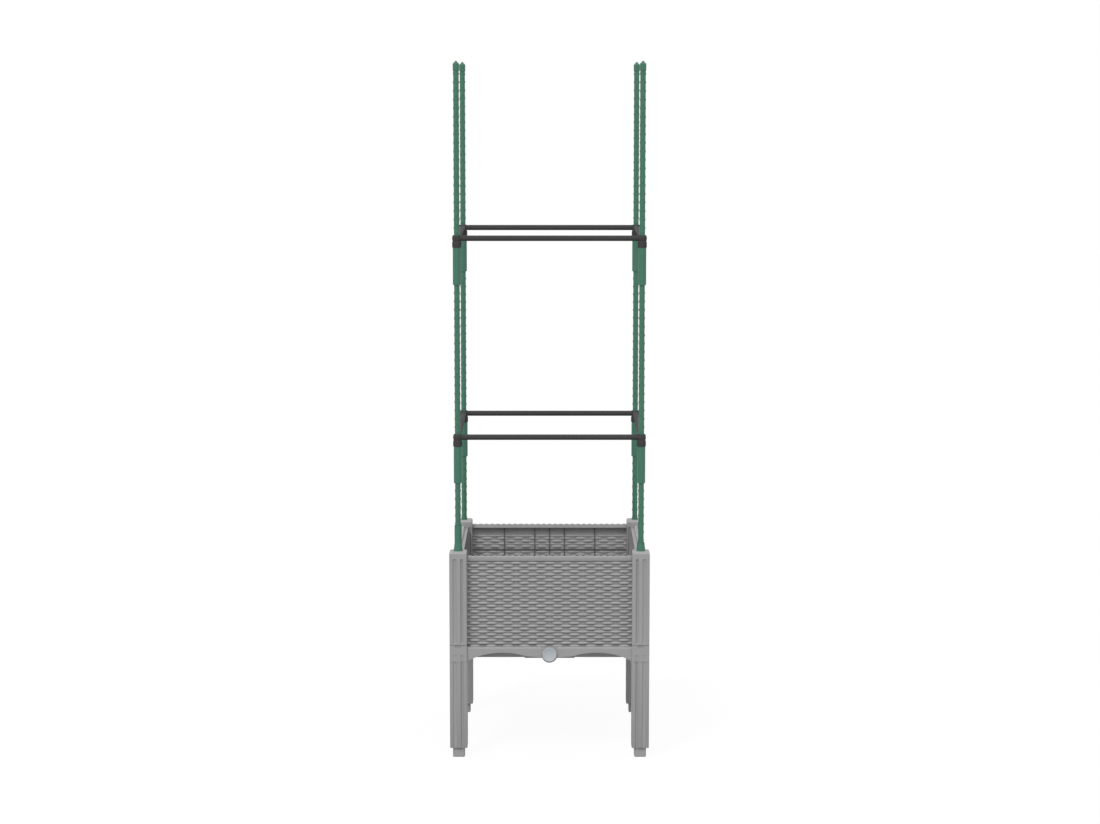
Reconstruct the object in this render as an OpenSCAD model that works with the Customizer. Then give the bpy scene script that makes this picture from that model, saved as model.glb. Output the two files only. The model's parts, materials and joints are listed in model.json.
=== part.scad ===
/* [Bed] */
// Width of the square bed across its corner posts
bed_w = 400; // [360:5:480]
// Side of the square section of a leg or post
post_w = 35; // [34:0.1:42]
// Length of a leg between its foot and the tray
leg_h = 177; // [120:1:260]
// Height of the tray's corner blocks
block_h = 33; // [32:1:40]
// Length of a corner post between its tray block and its cap
post_h = 179; // [160:1:240]
// Height of a post cap above its post
cap_h = 11.5; // [10:0.5:16]
// Radius of a cap's round shoulders
cap_round = 5; // [3:0.5:6]
// Wall of the hollow legs and posts
post_wall = 3; // [2.6:0.1:3.4]
// Side of the square spigots that join legs, blocks and posts
spigot_w = 24; // [23:0.5:25]
// Length of the spigot under a leg, block or post
spigot_len = 20; // [16:1:21]
// Wall of the spigots
spigot_wall = 2.5; // [2:0.1:3]
// Distance of the broad flute from the outer edge of a face
flute_outer = 10.4; // [9:0.1:12]
// Width of the broad flutes
flute_broad = 9.5; // [6:0.1:11]
// Depth of the broad flutes
flute_d = 0.9; // [0.6:0.1:1.4]
// Distance of the narrow flute from the outer edge of a face
flute_inner = 24.8; // [23:0.1:26.5]
// Width of the narrow flutes
flute_narrow = 6.4; // [4:0.1:7]
// Depth of the narrow flutes
flute_deep = 1.3; // [0.6:0.1:1.6]
// Distance of the groove in a post's inner face from the inner edge
groove_inner = 5.3; // [4:0.1:7]
// Width of the tabs that key a leg or post into the piece below it
key_w = 11; // [8:0.5:13]
// Length of the tabs
key_h = 4; // [2:0.5:6]
// Thickness of the tabs
key_t = 2; // [1.5:0.1:2.4]

/* [Tray] */
// Depth of the apron face behind the faces of the corner blocks
apron_set = 4; // [3:0.5:8]
// Thickness of the tray's walls and floor
tray_wall = 2.5; // [2:0.1:3]
// Thickness of the apron
apron_t = 3; // [2:0.5:4]
// Radius of the apron's round top edge
apron_round = 3; // [1:0.5:4]
// Height of the tray floor's underside above the foot of the corner blocks
floor_rise = 7; // [5:0.5:8]
// Height of the shelf's top above the foot of the corner blocks
shelf_rise = 25; // [24:0.5:27]
// Height of the lips that hold the panels above the shelf
lip_h = 4; // [3:0.5:5]
// Inside width of the water reservoir
pan_w = 336; // [320:1:338]
// Side of the square sump in the middle of the floor
sump_w = 100; // [70:5:100]
// Depth of the sump below the floor's underside
sump_d = 3.5; // [2:0.5:5]
// Height of the arches' crown above the foot of the corner blocks
arch_crown = 18; // [16:0.5:20]
// Height of the arches' springing above the foot of the corner blocks
arch_spring = 11; // [9:0.5:13]
// Width of the solid apron between an arch and its corner block
arch_end = 24; // [18:1:30]
// Width of the solid apron between the drain's boss and an arch
boss_skirt = 32; // [20:1:40]

/* [Drain] */
// Diameter of the round boss that carries the drain plug
boss_d = 31.6; // [29:0.2:34]
// Height of the drain's axis above the foot of the corner blocks
drain_rise = 15.5; // [14:0.1:16]
// Distance of the boss's middle below the drain's axis
boss_drop = 2; // [0:0.1:3]
// Diameter of the drain plug's head
plug_d = 28.4; // [24:0.2:28.8]
// Thickness of the drain plug's head
plug_t = 6; // [4:0.5:8]
// Diameter of the drain plug's shank
shank_d = 9.4; // [7:0.2:10]
// Thickness of the washer behind the plug's head
seal_t = 1.2; // [0.8:0.1:2]

/* [Panels] */
// Depth of a panel's outer face behind the post faces
panel_set = 13; // [12:0.5:15]
// Thickness of a panel's skin over the tops of its weave
skin_t = 3; // [2.6:0.1:3.4]
// Distance between the weave's upright stakes
weave_w = 16.66; // [12:0.02:24]
// Height of one woven strand
weave_h = 5.84; // [4.5:0.02:9]
// Depth of the weave's relief
weave_d = 1.6; // [0.8:0.1:1.8]
// Groove between two strands
weave_gap = 0.9; // [0.4:0.1:2]
// Flat length of a strand where it passes over or behind a stake
weave_flat = 6; // [2:0.5:10]
// Depth of the lowest strand's lower edge below the lips' top
weave_start = 1.8; // [0:0.1:3]
// Width of one scallop along a panel's top edge
scallop_w = 12.26; // [10:0.02:16]
// Height of the scallops
scallop_h = 1.5; // [0.6:0.1:2]
// Height of a panel's top edge above its posts
panel_rise = 1.3; // [0:0.1:3]
// Thickness of a panel along its scalloped rim
rim_t = 6; // [4.5:0.1:8]
// Height of the rim above its flange's underside
rim_h = 7.3; // [5:0.1:12]
// Width of the flange inside the rim
flange_w = 7; // [5:0.5:9]
// Thickness of the flange
flange_t = 1.8; // [1.4:0.1:3]
// Width of the pocket in a post above the end of a flange
pocket_w = 5; // [3:0.5:6]
// Height of the pocket
pocket_h = 4.5; // [3:0.1:6]
// Depth of the ribs on a panel's inner face
rib_d = 4.5; // [3:0.1:5.5]
// Thickness of the ribs
rib_t = 2.4; // [1.6:0.1:3]
// Distance of the inner pair of ribs from a panel's middle
rib_near = 31.7; // [20:0.1:50]
// Distance of the outer pair of ribs from a panel's middle
rib_far = 96.6; // [70:0.1:120]
// Depth of the lengthwise rib below a panel's top edge
rib_drop = 55; // [30:1:90]

/* [Soil plate] */
// Thickness of the perforated plate over the reservoir
plate_t = 2.5; // [2:0.1:4]
// Height of the plate's upright edge
plate_edge = 8; // [6:0.5:10]
// Diameter of the plate's holes
hole_d = 5; // [4:0.5:7]
// Spacing of the plate's holes
hole_pitch = 38; // [36:1:48]
// Diameter of a well's mouth
well_mouth = 36; // [30:1:44]
// Diameter of a well's foot
well_foot = 28; // [20:1:29]

/* [Trellis] */
// Diameter of a stake between its nubs
stake_d = 11; // [10:0.1:11.4]
// Wall of the tubular stakes
stake_wall = 0.8; // [0.6:0.1:1.2]
// Length of one stake
stake_len = 393; // [340:1:480]
// Height of the nubs on the stakes
nub_h = 0.8; // [0.4:0.1:0.9]
// Outer diameter of the sleeves
sleeve_d = 16; // [15.6:0.1:17]
// Length of a sleeve
sleeve_len = 84; // [70:1:120]
// Length of a stake's lower end in the sleeve below it
sleeve_hold = 39; // [30:1:50]
// Thickness of the stop inside a joining sleeve
stop_t = 2; // [1.5:0.5:4]
// Outer diameter of the base sleeves, which hold the stakes in the posts
base_d = 14.4; // [14.2:0.1:15]
// Length of a base sleeve
base_len = 84; // [70:1:120]
// Height of the tall base sleeve above its post cap
base_show = 51; // [36:1:60]
// Height of the other base sleeves without their collar above their post caps
base_lip = 0.6; // [0.4:0.1:3]
// Diameter of the collar at the foot of a front base sleeve
collar_d = 18; // [16:0.5:24]
// Height of the collar
collar_h = 16; // [6:0.5:20]
// Height of a corner clip
clip_h = 24; // [22:0.5:30]
// Depth of a clip's grip on its sleeve
clip_grip = 10.5; // [9:0.5:11.5]
// Thickness of a clip's rings round its sleeve
clip_wall = 1; // [0.8:0.1:1.6]
// Length of a clip's pegs inside the crossbars
clip_peg = 12; // [8:1:20]
// Diameter of the crossbars
bar_d = 11; // [10:0.1:12]
// Wall of the tubular crossbars
bar_wall = 1; // [0.8:0.1:1.4]
// Diameter of the pointed tips
tip_d = 12.8; // [12.6:0.1:14]
// Length of the pointed tips
tip_len = 20; // [16:1:30]
// Length of a tip's cone
tip_cone = 6; // [4:0.5:9]

/* [Fits] */
// Clearance on each side of a spigot in its socket
spigot_fit = 0.15; // [0.1:0.05:0.3]
// Clearance round a tab in its notch
key_fit = 0.3; // [0.2:0.05:0.5]
// Clearance on each side of a panel in its slot
slot_fit = 0.3; // [0.2:0.05:0.5]
// Clearance of the soil plate from posts and rails
plate_fit = 1; // [0.5:0.1:2]
// Clearance between a stake's nubs and the bore they slide in
stake_fit = 0.3; // [0.25:0.05:0.4]
// Clearance between pieces that stay pressed together
press_gap = 0.05; // [0.05:0.01:0.1]
// Clearance between the drain plug's shank and its bore
plug_fit = 0.1; // [0.05:0.01:0.2]

/* [Hidden] */

$fn = 48;
over = 1;

resin_grey = [0.59, 0.585, 0.59];
coat_green = [0.29, 0.47, 0.40];
clip_black = [0.25, 0.25, 0.25];
plug_grey = [0.68, 0.71, 0.72];
rubber_black = [0.12, 0.12, 0.12];

bed_half = bed_w / 2;
half_w = post_w / 2;
post_axis = bed_half - half_w;
post_in = bed_half - post_w;

z_leg = spigot_len;
z_block = z_leg + leg_h;
z_post = z_block + block_h;
z_cap = z_post + post_h;
z_cap_top = z_cap + cap_h;
z_panel_top = z_cap + panel_rise;

corner_r = 1.5;
flute_end = 6;
outer_flutes = [[flute_outer, flute_broad, flute_d], [flute_inner, flute_narrow, flute_deep]];
inner_groove = [[post_w - groove_inner, flute_narrow, flute_deep]];
core_half = half_w - post_wall;
socket_half = spigot_w / 2 + spigot_fit;
guide_t = 2;
guide_at = spigot_w / 3;
end_wall = 3;
foot_in = 2.4;
foot_h = 7;
foot_round = 2;
cap_peg = 12;

skin_out = bed_half - panel_set;
skin_in = skin_out - skin_t;
slot_depth = 3.8;
slot_w = skin_t + 2 * slot_fit;
slot_mid = (skin_out + skin_in) / 2 - post_axis;

z_floor = z_block + floor_rise;
z_pan = z_floor + tray_wall;
z_shelf = z_block + shelf_rise;
z_lip = z_shelf + lip_h;
pan_half = pan_w / 2;
apron_out = bed_half - apron_set;
lip_in = skin_out + slot_fit;
socket_floor = 10.5;
z_stake = z_block + socket_floor;
arch_out = post_in - arch_end;
arch_in = boss_d / 2 + boss_skirt;

z_drain = z_block + drain_rise;
boss_face = apron_out + 0.6;
plug_back = boss_face + seal_t;
neck_wall = 3.5;

panel_half = post_in + slot_depth - slot_fit;
face_half = post_in - slot_fit;
rim_in = skin_out - rim_t;
flange_in = rim_in - flange_w;
z_rim = z_panel_top - rim_h;
z_trough = z_panel_top - scallop_h;
scallop_r = arc_radius(scallop_w, scallop_h);
scallop_n = ceil(face_half / scallop_w);
weave_base = skin_out - weave_d;
weave_cols = floor((face_half - 2) / weave_w);
z_weave = z_lip - weave_start;
weave_rows = floor((z_rim - z_weave - 2) / weave_h);
weave_under = 0.4;
pocket_mid = rim_in + 1 - pocket_w / 2 - post_axis;

plate_half = flange_in - plate_fit;
notch_half = post_in - plate_fit;
hole_n = floor((notch_half - 2 * hole_d) / hole_pitch);
well_step = 2;

stake_r = stake_d / 2;
bore_r = stake_r + nub_h + stake_fit;
sleeve_r = sleeve_d / 2;
base_r = base_d / 2;
tier = stake_len + stop_t;
z_sleeve = z_stake + tier + sleeve_hold - sleeve_len;
z_clip = z_sleeve + sleeve_len - clip_grip;
clip_r = sleeve_r + press_gap + clip_wall;
bar_r = bar_d / 2;
clip_arm = clip_r + 1.5;
z_bar = z_clip + clip_h - bar_r - 0.3;
peg_r = bar_r - bar_wall - press_gap;
tip_r = tip_d / 2;
tip_skirt = tip_len - tip_cone;
top_len = stake_len - tip_cone;
z_tip = z_stake + 2 * tier + top_len - tip_skirt;

// Radius of the circle that cuts a groove of this width and depth
function arc_radius(width, depth) = (width * width / 4 + depth * depth) / (2 * depth);

// Moves a corner piece, drawn for the back right, to any corner by mirroring
module at_corner(side_x, side_y) {
    translate([side_x * post_axis, side_y * post_axis, 0])
        mirror([side_x < 0 ? 1 : 0, 0, 0])
            mirror([0, side_y < 0 ? 1 : 0, 0])
                children();
}

module front_left() { at_corner(-1, -1) children(); }
module front_right() { at_corner(1, -1) children(); }
module back_left() { at_corner(-1, 1) children(); }
module back_right() { at_corner(1, 1) children(); }

module each_corner() {
    for (side_x = [-1, 1], side_y = [-1, 1])
        at_corner(side_x, side_y) children();
}

module raised(z) { translate([0, 0, z]) children(); }

module rounded_square(w, r) {
    square([w - 2 * r, w], center = true);
    square([w, w - 2 * r], center = true);
    for (x = [-1, 1], y = [-1, 1])
        translate([x * (w / 2 - r), y * (w / 2 - r)]) circle(r);
}

module square_ring(outer, inner) {
    difference() {
        square(2 * outer, center = true);
        square(2 * inner, center = true);
    }
}

// What a round edge leaves of a square one, to be cut away
module edge_waste(r) {
    difference() {
        square(r + over);
        circle(r);
    }
}

// Places flutes, each given as its distance from the outer edge, its width and its depth,
// on the two outer faces (side = 1) or the two inner faces (side = -1)
module each_flute(flutes, side = 1) {
    for (flute = flutes, flip = [0, 1]) {
        $flute_r = arc_radius(flute[1], flute[2]);
        mirror([flip, -flip])
            translate([side * (half_w + $flute_r - flute[2]), half_w - flute[0]]) children();
    }
}

// Flutes with round ends, from one height to another
module short_flutes(flutes, side, z_low, z_high) {
    each_flute(flutes, side) {
        raised(z_low) cylinder(h = z_high - z_low, r = $flute_r);
        raised(z_low) sphere($flute_r);
        raised(z_high) sphere($flute_r);
    }
}

// Tabs below a leg or post, or their notches, whose outer faces lie at this distance
module key_tabs(turns, reach, gap) {
    for (turn = turns)
        rotate(turn * 90)
            translate([reach - key_t - gap, -key_w / 2 - gap, -key_h - gap])
                cube([key_t + 2 * gap, key_w + 2 * gap, key_h + gap + over]);
}

// Ribs inside a leg or post that steady the spigot pushed into it
module guide_ribs() {
    for (turn = [0 : 3], side = [-1, 1])
        rotate(turn * 90)
            translate([socket_half, side * guide_at - guide_t / 2])
                square([core_half - socket_half + over, guide_t]);
}

// Section of the two slots that take the panels' edges
module slot_shape(margin, depth) {
    for (flip = [0, 1])
        mirror([flip, -flip])
            translate([-half_w - over, slot_mid - slot_w / 2 - margin])
                square([depth + over, slot_w + 2 * margin]);
}

// Square spigot pointing down from z = 0, hollow above its end wall
module spigot() {
    difference() {
        raised(-spigot_len) linear_extrude(spigot_len + over) rounded_square(spigot_w, 2);
        raised(end_wall - spigot_len) linear_extrude(spigot_len + over)
            rounded_square(spigot_w - 2 * spigot_wall, 1);
        for (turn = [0 : 3])
            rotate(turn * 90)
                translate([spigot_w / 2, 0, -spigot_len])
                    rotate([0, 45, 0])
                        cube([foot_round, spigot_w + over, foot_round], center = true);
    }
}

// Envelope of a leg that draws in at its lower end
module foot_taper() {
    rotate([90, 0, 0]) linear_extrude(post_w + over, center = true)
        polygon([
            [foot_in - half_w, 0], [half_w - foot_in, 0], [half_w, foot_h],
            [half_w, leg_h], [-half_w, leg_h], [-half_w, foot_h]]);
}

module leg() {
    color(resin_grey) raised(z_leg) {
        difference() {
            intersection() {
                linear_extrude(leg_h) difference() {
                    rounded_square(post_w, corner_r);
                    each_flute(outer_flutes) circle($flute_r);
                }
                foot_taper();
                rotate(90) foot_taper();
            }
            raised(end_wall) linear_extrude(leg_h) difference() {
                square(2 * core_half, center = true);
                guide_ribs();
            }
            raised(-over) linear_extrude(end_wall + 2 * over)
                rounded_square(spigot_w - 2 * spigot_wall, 1);
        }
        key_tabs([0 : 3], half_w - foot_in, 0);
        spigot();
    }
}

// Pockets above the ends of the panels' flanges
module flange_pockets() {
    for (flip = [0, 1])
        mirror([flip, -flip])
            translate([-half_w - over, pocket_mid - pocket_w / 2, post_h - pocket_h])
                cube([post_wall + 2 * over, pocket_w, pocket_h + over]);
}

module post() {
    slot_back = half_w - socket_half;
    color(resin_grey) raised(z_post) {
        difference() {
            linear_extrude(post_h) difference() {
                rounded_square(post_w, corner_r);
                slot_shape(0, slot_depth);
            }
            raised(end_wall) linear_extrude(post_h) difference() {
                square(2 * core_half, center = true);
                guide_ribs();
                slot_shape(guide_t, slot_back);
            }
            raised(-over) linear_extrude(end_wall + 2 * over)
                rounded_square(spigot_w - 2 * spigot_wall, 1);
            short_flutes(outer_flutes, 1, flute_end, post_h - flute_end);
            short_flutes(inner_groove, -1, flute_end, post_h - 2 * flute_end);
            flange_pockets();
        }
        key_tabs([0, 1], half_w, 0);
        difference() {
            spigot();
            raised(-spigot_len - over) cylinder(h = end_wall + 2 * over, r = bore_r);
        }
    }
}

module cap() {
    color(resin_grey) raised(z_cap) difference() {
        union() {
            linear_extrude(cap_h) rounded_square(post_w, corner_r);
            raised(-cap_peg) linear_extrude(cap_peg + over) rounded_square(spigot_w, 2);
        }
        for (turn = [0 : 3])
            rotate(turn * 90)
                translate([0, half_w - cap_round, cap_h - cap_round])
                    rotate([90, 0, 90])
                        linear_extrude(post_w + over, center = true) edge_waste(cap_round);
        raised(-cap_peg - over) linear_extrude(cap_peg + over)
            rounded_square(spigot_w - 2 * spigot_wall, 1);
        raised(-over) cylinder(h = cap_h + 2 * over, r = base_r + press_gap);
    }
}

// Flat arch in the lower edge of an apron
module arch_cut(x_from, x_to) {
    reach = (x_to - x_from) / 2;
    rise = arch_crown - arch_spring;
    arch_r = (reach * reach + rise * rise) / (2 * rise);
    intersection() {
        translate([x_from + reach, arch_crown - arch_r]) circle(arch_r, $fn = 96);
        translate([x_from, 0]) square([2 * reach, arch_crown + over]);
    }
}

// Half of the space below an apron, from the arch's spring line down
module below_apron(x_from, z_from, x_arch) {
    polygon([
        [x_from, -over], [x_from, z_from], [x_arch, arch_spring],
        [arch_out, arch_spring], [arch_out + 0.6 * arch_end, arch_spring / 2],
        [post_in, 0], [post_in, -over]]);
}

module apron_outline(with_drain) {
    difference() {
        translate([-post_in - over, 0])
            square([2 * (post_in + over), z_lip - apron_round - z_block]);
        for (side = [0, 1])
            mirror([side, 0])
                if (with_drain) {
                    below_apron(-over, arch_spring * 0.6, arch_in);
                    arch_cut(arch_in, arch_out);
                } else below_apron(-over, arch_spring, over);
        if (!with_drain) arch_cut(-arch_out, arch_out);
    }
}

// Outer lip of the panels' channel, round along its top
module outer_lip() {
    for (turn = [0 : 3])
        rotate(turn * 90) rotate([90, 0, 90])
            linear_extrude(2 * (post_in + over), center = true) difference() {
                translate([lip_in, z_shelf - over])
                    square([apron_out - lip_in, lip_h + over]);
                translate([apron_out - apron_round, z_lip - apron_round])
                    edge_waste(apron_round);
            }
}

module corner_block() {
    raised(z_block) {
        linear_extrude(block_h) rounded_square(post_w, corner_r);
        raised(-spigot_len) linear_extrude(spigot_len + over) rounded_square(spigot_w, 2);
    }
}

// Sockets, panel slots and flute ends of a corner block
module corner_cuts() {
    raised(z_stake) linear_extrude(block_h) square(2 * socket_half, center = true);
    raised(z_block - spigot_len - over)
        linear_extrude(spigot_len + socket_floor - end_wall + over)
            rounded_square(spigot_w - 2 * spigot_wall, 1);
    raised(z_shelf) linear_extrude(block_h) slot_shape(0, slot_depth);
    short_flutes(outer_flutes, 1, z_block - flute_broad, z_block + block_h / 2 - flute_end);
    raised(z_post) key_tabs([0, 1], half_w, key_fit);
}

// Boss in the front apron and the neck from it to the reservoir
module drain_boss() {
    raised(z_drain) rotate([90, 0, 0]) {
        raised(lip_in) linear_extrude(boss_face - lip_in) translate([0, -boss_drop]) {
            circle(d = boss_d);
            translate([-boss_d / 2, 0]) square([boss_d, z_lip - z_drain + boss_drop]);
        }
        raised(pan_half + tray_wall / 2)
            cylinder(h = lip_in - pan_half, d = shank_d + 2 * neck_wall);
    }
}

module reservoir() {
    raised(z_floor) linear_extrude(tray_wall) square(pan_w + 2 * tray_wall, center = true);
    raised(z_floor - sump_d) linear_extrude(sump_d + over) square(sump_w, center = true);
    raised(z_floor) linear_extrude(z_shelf - z_floor)
        square_ring(pan_half + tray_wall, pan_half);
    raised(z_shelf - tray_wall) linear_extrude(tray_wall) square_ring(apron_out - over, pan_half);
    raised(z_shelf - over) linear_extrude(lip_h + over)
        square_ring(skin_in - slot_fit, skin_in - slot_fit - tray_wall);
}

module base_tray() {
    color(resin_grey) difference() {
        union() {
            reservoir();
            outer_lip();
            for (turn = [0 : 3])
                rotate(turn * 90)
                    translate([0, apron_t - apron_out, z_block])
                        rotate([90, 0, 0]) linear_extrude(apron_t) apron_outline(turn == 0);
            each_corner() corner_block();
            drain_boss();
        }
        raised(z_pan - sump_d) linear_extrude(sump_d + over)
            square(sump_w - 2 * tray_wall, center = true);
        each_corner() corner_cuts();
        raised(z_drain) rotate([90, 0, 0])
            cylinder(h = bed_half, r = shank_d / 2 + plug_fit);
    }
}

module drain_plug() {
    edge = 1.5;
    color(plug_grey) raised(z_drain) rotate([90, 0, 0]) rotate_extrude() {
        difference() {
            translate([0, plug_back]) square([plug_d / 2, plug_t]);
            translate([plug_d / 2 - edge, plug_back + plug_t - edge]) edge_waste(edge);
        }
        translate([0, pan_half]) square([shank_d / 2, plug_back - pan_half + over]);
    }
}

module plug_washer() {
    color(rubber_black) raised(z_drain) rotate([90, 0, 0]) raised(boss_face) difference() {
        cylinder(h = seal_t, r = plug_d / 2 - 2);
        raised(-over) cylinder(h = seal_t + 2 * over, r = shank_d / 2 + press_gap);
    }
}

// Thick band along a panel's top, seen from the front, with its scallops
module rim_outline() {
    translate([-face_half, z_rim]) square([2 * face_half, z_trough - z_rim]);
    intersection() {
        for (i = [-scallop_n : scallop_n])
            translate([i * scallop_w, z_panel_top - scallop_r]) circle(scallop_r, $fn = 96);
        translate([-face_half, z_trough - over]) square([2 * face_half, scallop_h + 2 * over]);
    }
}

// One strand of the weave, seen from above: it runs out over every other upright stake and
// dips between them
module strand(row) {
    swing = [
        for (k = [-weave_cols : weave_cols], side = [-1, 1])
            [k * weave_w + side * weave_flat / 2,
             -weave_base - ((row + k) % 2 != 0 ? weave_d : weave_under)]];
    raised(z_weave + row * weave_h + weave_gap / 2) linear_extrude(weave_h - weave_gap)
        polygon([
            [face_half, over / 2 - weave_base], [-face_half, over / 2 - weave_base],
            [-face_half, -weave_base - weave_under], each swing,
            [face_half, -weave_base - weave_under]]);
}

// Outline of a panel below its rim, with the tongues that slide into the posts
module skin_outline() {
    translate([-panel_half, z_shelf]) square([2 * panel_half, z_rim + over - z_shelf]);
    for (side = [0, 1])
        mirror([side, 0]) translate([face_half, z_shelf])
            square([panel_half - face_half, z_cap - z_shelf]);
}

module side_panel() {
    color(resin_grey) {
        translate([0, -skin_in, 0]) rotate([90, 0, 0]) {
            linear_extrude(skin_t - weave_d) skin_outline();
            linear_extrude(skin_t) difference() {
                skin_outline();
                translate([-face_half, z_weave])
                    square([2 * face_half, weave_rows * weave_h]);
            }
        }
        for (row = [0 : weave_rows - 1]) strand(row);
        translate([0, -rim_in, 0]) rotate([90, 0, 0]) linear_extrude(rim_t) rim_outline();
        translate([-face_half, -rim_in - over, z_rim])
            cube([2 * face_half, flange_w + over, flange_t]);
        for (x = [-rib_far, -rib_near, 0, rib_near, rib_far])
            translate([x - rib_t / 2, -skin_in - over, z_lip])
                cube([rib_t, rib_d + over, z_rim - z_lip + over]);
        translate([-face_half, -skin_in - over, z_panel_top - rib_drop - rib_t / 2])
            cube([2 * face_half, rib_d + over, rib_t]);
    }
}

// Square plate notched round the four posts
module plate_shape(inset) {
    wide = 2 * (plate_half - inset);
    narrow = 2 * (notch_half - inset);
    square([wide, narrow], center = true);
    square([narrow, wide], center = true);
}

module each_well() {
    at = well_step * hole_pitch;
    for (x = [-at, at], y = [-at, at])
        translate([x, y, z_pan]) children();
}

module soil_plate() {
    well_h = z_shelf + plate_t - z_pan;
    color(resin_grey) difference() {
        union() {
            raised(z_shelf) linear_extrude(plate_edge) plate_shape(0);
            each_well() cylinder(h = well_h, d1 = well_foot, d2 = well_mouth);
        }
        raised(z_shelf + plate_t) linear_extrude(plate_edge) plate_shape(tray_wall);
        each_well() raised(plate_t)
            cylinder(h = well_h, d1 = well_foot - 2 * plate_t, d2 = well_mouth);
        for (x = [-hole_n : hole_n], y = [-hole_n : hole_n])
            translate([x * hole_pitch, y * hole_pitch, z_pan - over])
                cylinder(h = well_h + 2 * over, d = hole_d);
    }
}

module stake(length) {
    color(coat_green) difference() {
        cylinder(h = length, r = stake_r);
        raised(-over) cylinder(h = length + 2 * over, r = stake_r - stake_wall);
    }
}

module lower_stake() { raised(z_stake) stake(stake_len); }
module middle_stake() { raised(z_stake + tier) stake(stake_len); }
module top_stake() { raised(z_stake + 2 * tier) stake(top_len); }

// Sleeve that shows this much above its post cap, with any collar as its child
module base_sleeve(show) {
    color(coat_green) raised(z_cap_top) difference() {
        union() {
            raised(show - base_len) cylinder(h = base_len, r = base_r);
            children();
        }
        raised(show - base_len - over) cylinder(h = base_len + 2 * over, r = bore_r);
    }
}

module collar() { cylinder(h = collar_h, d1 = collar_d, d2 = base_d); }
module tall_sleeve() { base_sleeve(base_show) collar(); }
module low_sleeve() { base_sleeve(collar_h + base_lip) collar(); }
module flush_sleeve() { base_sleeve(base_lip); }

// Sleeve that joins two stakes end to end over a stop in its bore
module join_sleeve() {
    stop_z = sleeve_len - sleeve_hold - stop_t;
    color(coat_green) raised(z_sleeve) difference() {
        cylinder(h = sleeve_len, r = sleeve_r);
        raised(-over) cylinder(h = stop_z + over, r = bore_r);
        raised(stop_z + stop_t) cylinder(h = sleeve_hold + over, r = bore_r);
    }
}

module lower_sleeves() { each_corner() join_sleeve(); }
module upper_sleeves() { raised(tier) each_corner() join_sleeve(); }

// Waisted collar over the end of a sleeve, with two pegs for the crossbars
module clip() {
    waist_r = sleeve_r + 0.2;
    bar_at = z_bar - z_clip;
    color(clip_black) raised(z_clip) difference() {
        union() {
            rotate_extrude() polygon([
                [0, 0], [clip_r - 0.4, 0], [clip_r, 0.8], [clip_r, clip_grip - 0.3],
                [waist_r, clip_grip + 1.1], [waist_r, clip_grip + 2.5],
                [clip_r, bar_at - 2.4], [clip_r, bar_at + 1.6],
                [clip_r - 1, clip_h], [0, clip_h]]);
            for (inward = [[0, -90, 0], [90, 0, 0]])
                raised(bar_at) rotate(inward) {
                    cylinder(h = clip_arm, r = bar_r);
                    cylinder(h = clip_arm + clip_peg, r = peg_r);
                }
        }
        raised(-over) cylinder(h = clip_grip + over, r = sleeve_r + press_gap);
        cylinder(h = clip_h + over, r = bore_r);
    }
}

module lower_clip() { clip(); }
module upper_clip() { raised(tier) clip(); }

module crossbar() {
    length = 2 * (post_axis - clip_arm);
    color(clip_black) translate([0, -post_axis, z_bar]) rotate([0, 90, 0]) difference() {
        cylinder(h = length, r = bar_r, center = true);
        cylinder(h = length + 2 * over, r = bar_r - bar_wall, center = true);
    }
}

module lower_bar() { crossbar(); }
module upper_bar() { raised(tier) crossbar(); }

module tip() {
    color(coat_green) raised(z_tip) difference() {
        rotate_extrude() polygon([
            [0, 0], [tip_r - 0.6, 0], [tip_r, 1], [tip_r, tip_skirt],
            [tip_r - 1.4, tip_skirt + 1], [1, tip_len - 0.4], [0, tip_len]]);
        raised(-over) cylinder(h = tip_skirt + over, r = stake_r + press_gap);
    }
}

base_tray();
front_left() leg();  // leg_front_left
front_right() leg();  // leg_front_right
back_left() leg();  // leg_back_left
back_right() leg();  // leg_back_right
front_left() post();  // post_front_left
front_right() post();  // post_front_right
back_left() post();  // post_back_left
back_right() post();  // post_back_right
front_left() cap();  // cap_front_left
front_right() cap();  // cap_front_right
back_left() cap();  // cap_back_left
back_right() cap();  // cap_back_right
side_panel();  // panel_front
rotate(180) side_panel();  // panel_back
rotate(-90) side_panel();  // panel_left
rotate(90) side_panel();  // panel_right
drain_plug();
plug_washer();
soil_plate();
front_left() tall_sleeve();  // base_sleeve_front_left
front_right() low_sleeve();  // base_sleeve_front_right
back_left() flush_sleeve();  // base_sleeve_back_left
back_right() flush_sleeve();  // base_sleeve_back_right
front_left() lower_stake();  // lower_stake_front_left
front_right() lower_stake();  // lower_stake_front_right
back_left() lower_stake();  // lower_stake_back_left
back_right() lower_stake();  // lower_stake_back_right
lower_sleeves();
front_left() lower_clip();  // lower_clip_front_left
front_right() lower_clip();  // lower_clip_front_right
back_left() lower_clip();  // lower_clip_back_left
back_right() lower_clip();  // lower_clip_back_right
lower_bar();  // lower_bar_front
rotate(180) lower_bar();  // lower_bar_back
rotate(-90) lower_bar();  // lower_bar_left
rotate(90) lower_bar();  // lower_bar_right
front_left() middle_stake();  // middle_stake_front_left
front_right() middle_stake();  // middle_stake_front_right
back_left() middle_stake();  // middle_stake_back_left
back_right() middle_stake();  // middle_stake_back_right
upper_sleeves();
front_left() upper_clip();  // upper_clip_front_left
front_right() upper_clip();  // upper_clip_front_right
back_left() upper_clip();  // upper_clip_back_left
back_right() upper_clip();  // upper_clip_back_right
upper_bar();  // upper_bar_front
rotate(180) upper_bar();  // upper_bar_back
rotate(-90) upper_bar();  // upper_bar_left
rotate(90) upper_bar();  // upper_bar_right
front_left() top_stake();  // top_stake_front_left
front_right() top_stake();  // top_stake_front_right
back_left() top_stake();  // top_stake_back_left
back_right() top_stake();  // top_stake_back_right
front_left() tip();  // tip_front_left
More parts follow.
